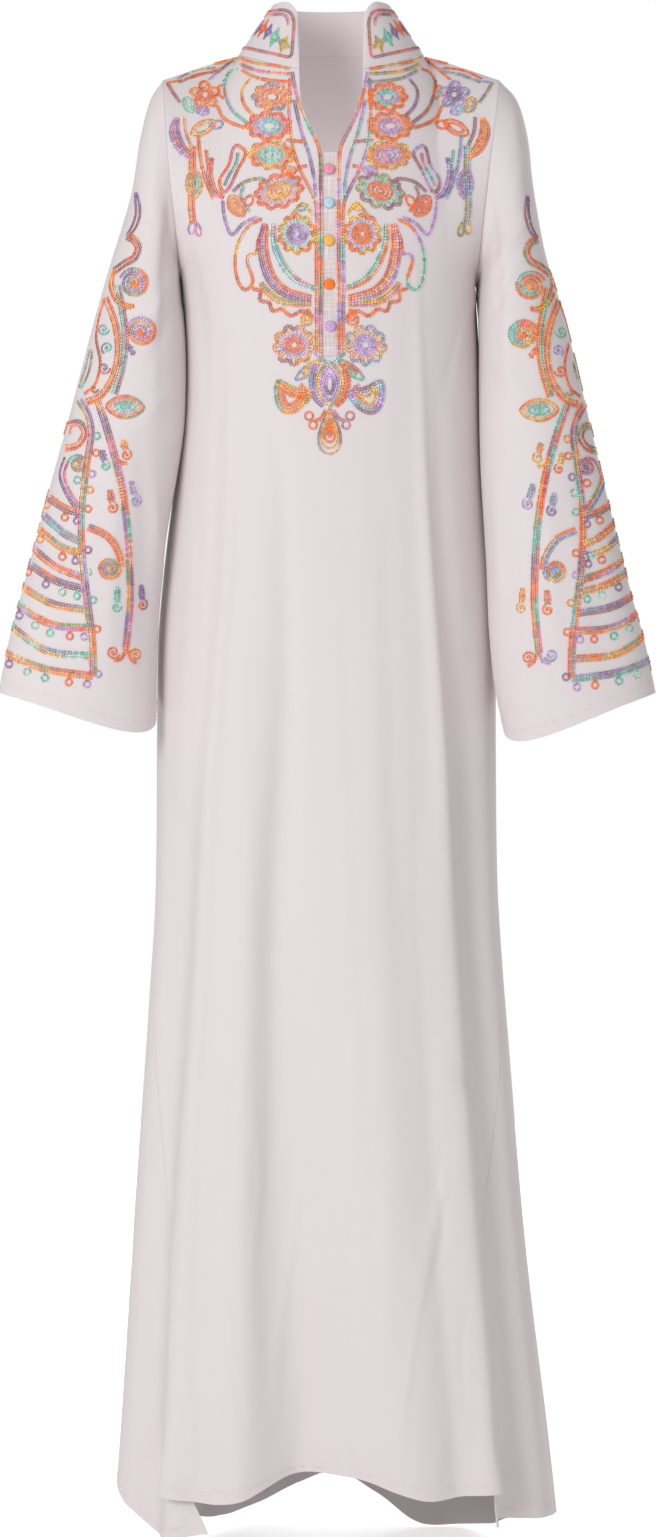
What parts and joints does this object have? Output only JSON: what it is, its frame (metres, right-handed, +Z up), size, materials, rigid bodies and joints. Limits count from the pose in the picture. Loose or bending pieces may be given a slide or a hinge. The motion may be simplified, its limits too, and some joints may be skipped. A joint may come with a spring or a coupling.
{
  "type": "abaya",
  "caption": "Ankle-length linen abaya, filled out and hollow: stand collar, open throat with thread buttons, wide sleeves, side slits, long back hem, chain-stitched scrolls.",
  "frame": {"origin": "middle of the neck base, level with the high points of the two shoulders, where a wearer's neck and shoulders hold the garment", "axes": "+Z up, the front of the garment faces -Y, +X is on the viewer's right"},
  "size_m": [0.626, 0.3171, 1.522],
  "materials": {
    "linen": "plain-woven linen, pale pinkish greige, matt, with coloured chain stitching on the yoke, collar and sleeves",
    "linen_placket": "the same linen, plain",
    "thread_pink": "wound embroidery thread with a soft sheen",
    "thread_pale_blue": "wound embroidery thread with a soft sheen",
    "thread_yellow": "wound embroidery thread with a soft sheen",
    "thread_orange": "wound embroidery thread with a soft sheen",
    "thread_lilac": "wound embroidery thread with a soft sheen"
  },
  "bodies": {
    "root": {"front": "linen", "back": "linen", "sleeve_left": "linen", "sleeve_right": "linen", "collar": "linen", "under_placket": "linen_placket", "button_1": "thread_pink", "button_2": "thread_pale_blue", "button_3": "thread_yellow", "button_4": "thread_orange", "button_5": "thread_lilac"}
  },
  "joints": []
}
